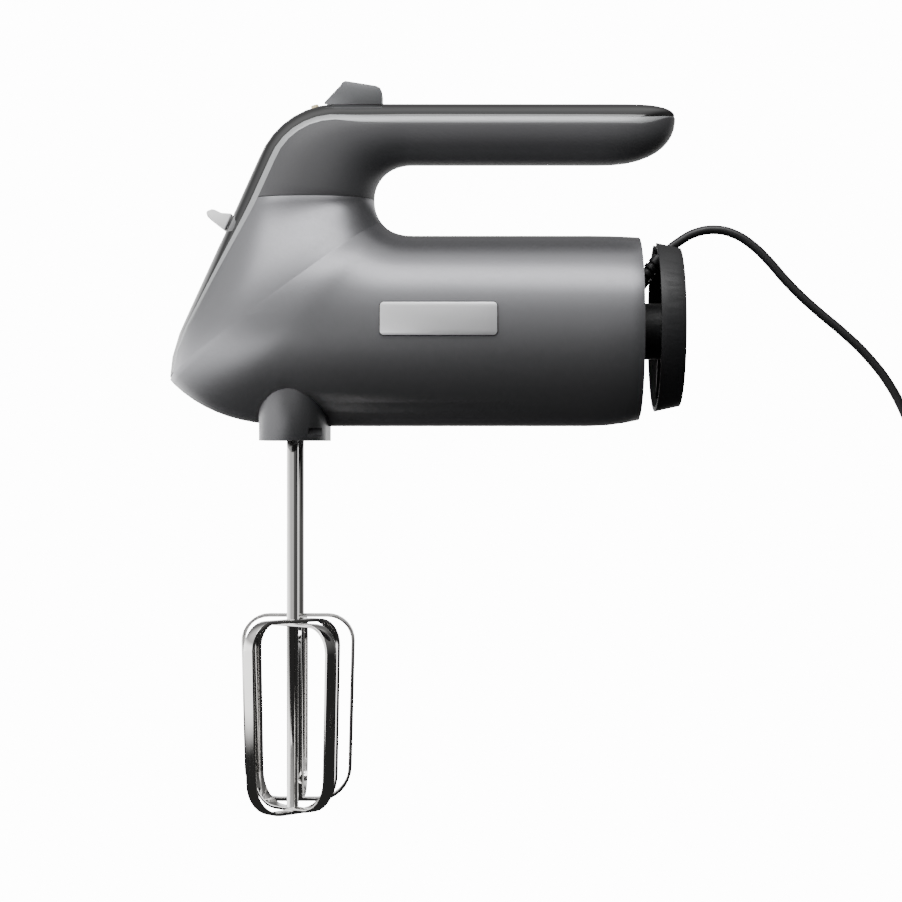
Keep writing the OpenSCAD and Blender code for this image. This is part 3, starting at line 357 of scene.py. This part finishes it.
# %% Light helpers
def ramp(tree, source, start, end, low, high):
    """Smooth step of a value, as one node."""
    return add_node(tree, "ShaderNodeMapRange", {"interpolation_type": "SMOOTHSTEP"},
                    {"From Min": start, "From Max": end, "To Min": low, "To Max": high},
                    {"Value": source}).outputs["Result"]


def calc(tree, kind, first, second):
    node = add_node(tree, "ShaderNodeMath", {"operation": kind})
    for socket, value in zip(node.inputs, (first, second)):
        if isinstance(value, (int, float)):
            socket.default_value = value
        else:
            tree.links.new(value, socket)
    return node.outputs["Value"]


# %% Studio
PAPER_LIGHT = 14.0
GROUND_DARK = 0.03
SKY_TOP = 1.2
BACK_WALL = 1.6
LEFT_WALL = 3.0
FLOOR_HALF = 4.0
floor_z = CAD_BOX[0][2]
floor_mesh = bmesh.new()
bmesh.ops.create_grid(floor_mesh, x_segments=1, y_segments=1, size=FLOOR_HALF)
bmesh.ops.translate(floor_mesh, vec=(0, 0, floor_z), verts=floor_mesh.verts)
floor_data = bpy.data.meshes.new("studio_floor")
floor_mesh.to_mesh(floor_data)
floor_mesh.free()
floor = bpy.data.objects.new("studio_floor", floor_data)
bpy.context.scene.collection.objects.link(floor)
PALE, pale_tree, pale_shader = start_material("pale_studio_paper", "#f6f6f6", 0.0, 0.8)
spot = add_node(pale_tree, "ShaderNodeTexCoord")
across = add_node(pale_tree, "ShaderNodeSeparateXYZ", links={"Vector": spot.outputs["Object"]})
glow = calc(pale_tree, "ADD", ramp(pale_tree, across.outputs["X"], -0.25, -0.5, GROUND_DARK, LEFT_WALL),
              ramp(pale_tree, across.outputs["Y"], 0.4, 0.8, 0.0, BACK_WALL))
in_view = add_node(pale_tree, "ShaderNodeLightPath").outputs["Is Camera Ray"]
paper_light = calc(pale_tree, "MAXIMUM", glow, calc(pale_tree, "MULTIPLY", in_view, PAPER_LIGHT))
paper = add_node(pale_tree, "ShaderNodeEmission", inputs={"Color": linear("#ffffff")},
                 links={"Strength": paper_light})
pale_tree.links.new(paper.outputs["Emission"], pale_tree.nodes["Material Output"].inputs["Surface"])
floor_data.materials.append(PALE)

world = bpy.data.worlds.new("studio")
world.use_nodes = True
bpy.context.scene.world = world
sky = world.node_tree
way = add_node(sky, "ShaderNodeTexCoord")
axes = add_node(sky, "ShaderNodeSeparateXYZ", links={"Vector": way.outputs["Generated"]})
rise = ramp(sky, axes.outputs["Z"], -0.35, 0.8, GROUND_DARK, SKY_TOP)
behind = ramp(sky, axes.outputs["Y"], 0.2, 0.75, 0.0, 1.0)
level = ramp(sky, calc(sky, "ABSOLUTE", axes.outputs["Z"], 0), 0.1, 0.4, 1.0, 0.0)
room = calc(sky, "MULTIPLY", rise, ramp(sky, axes.outputs["Y"], 0.2, 0.75, 1.0, 0.2))
room = calc(sky, "MULTIPLY", room, ramp(sky, axes.outputs["X"], 0.25, 0.6, 1.0, 0.15))
wall = calc(sky, "MULTIPLY", calc(sky, "MULTIPLY", behind, level), BACK_WALL)
leftward = ramp(sky, axes.outputs["X"], -0.4, -0.85, 0.0, 1.0)
left_wall = calc(sky, "MULTIPLY", calc(sky, "MULTIPLY", leftward, level), LEFT_WALL)
lit = calc(sky, "ADD", room, calc(sky, "ADD", wall, left_wall))
looked_at = add_node(sky, "ShaderNodeLightPath").outputs["Is Camera Ray"]
unseen = calc(sky, "SUBTRACT", 1.0, looked_at)
strength = calc(sky, "ADD", calc(sky, "MULTIPLY", lit, unseen),
                  calc(sky, "MULTIPLY", looked_at, PAPER_LIGHT))
sky.nodes["Background"].inputs["Color"].default_value = linear("#ffffff")
sky.links.new(strength, sky.nodes["Background"].inputs["Strength"])


def softbox(name, place, aim, size, power):
    light = bpy.data.lights.new(name, "AREA")
    light.shape = "RECTANGLE"
    light.size, light.size_y = size
    light.energy = power
    lamp = bpy.data.objects.new(name, light)
    lamp.location = place
    lamp.rotation_euler = (Vector(aim) - Vector(place)).to_track_quat("-Z", "Y").to_euler()
    bpy.context.scene.collection.objects.link(lamp)
    return lamp


softbox("key_above", (-0.1, -0.5, 0.75), (0, 0, -0.08), size=(1.3, 0.45), power=11)
